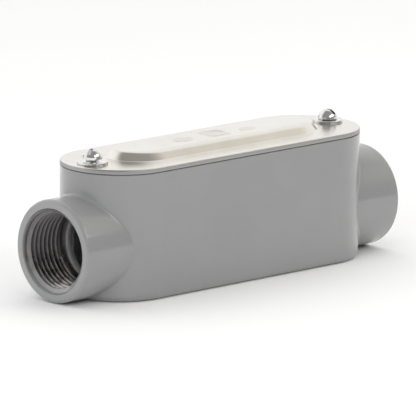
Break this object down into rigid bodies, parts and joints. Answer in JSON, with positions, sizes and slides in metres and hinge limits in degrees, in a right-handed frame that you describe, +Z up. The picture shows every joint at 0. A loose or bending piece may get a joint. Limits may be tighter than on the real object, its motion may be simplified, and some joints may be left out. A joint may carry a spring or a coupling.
{
  "type": "conduit body",
  "caption": "Straight-through threaded conduit body: cast trough with a threaded hub at each end, gasketed pressed cover and slotted cover screws on washers.",
  "frame": {"origin": "middle of the flat underside of the trough, on the surface that it stands on", "axes": "+X along the hubs towards the far hub, +Z up through the cover"},
  "size_m": [0.173, 0.0462, 0.0587],
  "materials": {
    "casting_paint": "smooth satin grey enamel on die-cast aluminium",
    "gasket_rubber": "matt black sheet",
    "cover_metal": "satin pressed sheet; bare machined metal in the threads",
    "fastener_steel": "bright zinc plate"
  },
  "bodies": {
    "root": {"body_casting": "casting_paint", "gasket": "gasket_rubber", "cover": "cover_metal"},
    "near_washer_body": {"near_washer": "fastener_steel"},
    "near_screw_body": {"near_screw": "fastener_steel"},
    "far_washer_body": {"far_washer": "fastener_steel"},
    "far_screw_body": {"far_screw": "fastener_steel"}
  },
  "joints": [
    {"name": "near_screw_turn", "type": "hinge", "parent": "root", "child": "near_washer_body", "pos_m": [-0.0653, 0, 0.0529], "axis": [0, 0, 1], "range_deg": [-453.55, 3900.48]},
    {"name": "near_screw_lift", "type": "slide", "parent": "near_washer_body", "child": "near_screw_body", "axis": [0, 0, 1], "range_m": [-0.001, 0.0086]},
    {"name": "far_screw_turn", "type": "hinge", "parent": "root", "child": "far_washer_body", "pos_m": [0.0653, 0, 0.0529], "axis": [0, 0, 1], "range_deg": [-68.04, 4285.99]},
    {"name": "far_screw_lift", "type": "slide", "parent": "far_washer_body", "child": "far_screw_body", "axis": [0, 0, 1], "range_m": [-0.00015, 0.00945]}
  ],
  "couplings": [
    {"joint": "near_screw_turn", "follows": "near_screw_lift", "rad_per_m": 7915.8},
    {"joint": "far_screw_turn", "follows": "far_screw_lift", "rad_per_m": 7915.8}
  ]
}
